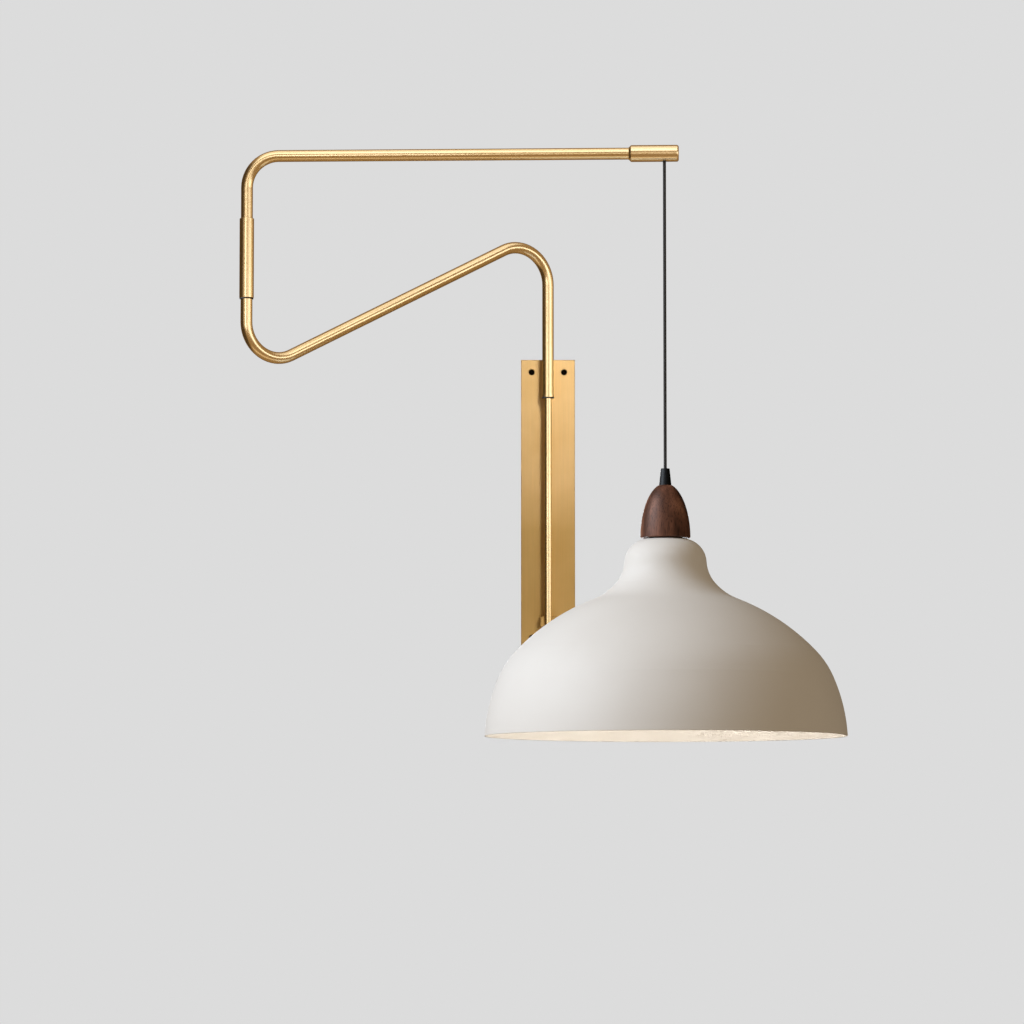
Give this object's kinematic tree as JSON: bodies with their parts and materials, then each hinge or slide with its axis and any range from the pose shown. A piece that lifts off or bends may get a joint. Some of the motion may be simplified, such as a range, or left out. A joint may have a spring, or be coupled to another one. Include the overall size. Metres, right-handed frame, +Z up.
{
  "type": "swing arm wall lamp",
  "caption": "Wall lamp: a brass plate with an upright rod, two bent brass arms that swing on upright joints, and a domed white metal shade with a wooden cap on a straight cord.",
  "frame": {"origin": "centre of the wall plate's rear face, which lies on the wall", "axes": "+X to the right along the wall, +Y into the wall, +Z up"},
  "size_m": [0.6099, 0.3919, 0.5956],
  "materials": {
    "brass": "satin, fine brushing",
    "steel": "plain",
    "black_plastic": "matte",
    "lead_sheath": "matte",
    "cord_cloth": "braided cloth",
    "walnut": "satin oil",
    "black_rubber": "matte",
    "shade_paint": "satin",
    "white_plastic": "gloss",
    "contact_brass": "plain",
    "lamp_cap": "plain",
    "lamp_glass": "gloss"
  },
  "bodies": {
    "wall_mount": {"wall_plate": "brass", "pivot_rod": "brass", "rod_end_plug": "brass", "upper_standoff": "brass", "lower_bracket": "brass", "standoff_screw": "steel", "bracket_screws": "steel", "thrust_washer": "black_plastic", "supply_lead": "lead_sheath"},
    "lower_arm": {"lower_arm_tube": "brass", "wall_joint_lower_bush": "brass", "wall_joint_upper_bush": "black_plastic", "arm_retaining_screw": "steel", "elbow_retaining_ring": "steel", "elbow_thrust_washer": "steel", "lower_arm_lead": "lead_sheath"},
    "upper_arm": {"elbow_sleeve": "brass", "elbow_lower_bush": "black_plastic", "elbow_upper_bush": "black_plastic", "upper_arm_tube": "brass", "end_fitting": "brass", "end_cap": "brass", "fitting_set_screws": "steel", "upper_arm_lead": "lead_sheath"},
    "cord_swivel": {"swivel_cup": "black_plastic"},
    "pendant": {"cord_stop": "brass", "pendant_cord": "cord_cloth", "cord_grip": "black_plastic", "wooden_cap": "walnut", "cap_gasket": "black_rubber", "threaded_nipple": "steel", "shade": "shade_paint", "shade_washer": "steel", "lock_nut": "steel", "lampholder_cap": "black_plastic", "lampholder_body": "black_plastic", "lampholder_insert": "white_plastic", "terminal_screws": "steel", "screw_shell": "contact_brass", "centre_contact": "contact_brass", "lamp_lead": "lead_sheath", "bulb_contact": "contact_brass", "bulb_insulator": "black_plastic", "bulb_cap": "lamp_cap", "bulb_glass": "lamp_glass"}
  },
  "joints": [
    {"name": "wall_swing", "type": "hinge", "parent": "wall_mount", "child": "lower_arm", "pos_m": [0, -0.016, 0.14], "axis": [0, 0, 1], "range_deg": [-25, 145]},
    {"name": "elbow_swing", "type": "hinge", "parent": "lower_arm", "child": "upper_arm", "pos_m": [-0.30571, -0.1925, 0.22], "axis": [0, 0, 1], "range_deg": [-265, 0]},
    {"name": "pendant_swing_side", "type": "hinge", "parent": "upper_arm", "child": "cord_swivel", "pos_m": [0.11589, -0.21091, 0.3345], "axis": [0.999, -0.0436, 0], "range_deg": [-10, 3]},
    {"name": "pendant_swing_along", "type": "hinge", "parent": "cord_swivel", "child": "pendant", "pos_m": [0.11589, -0.21091, 0.3345], "axis": [0.0436, 0.999, 0], "range_deg": [-10, 5]}
  ]
}
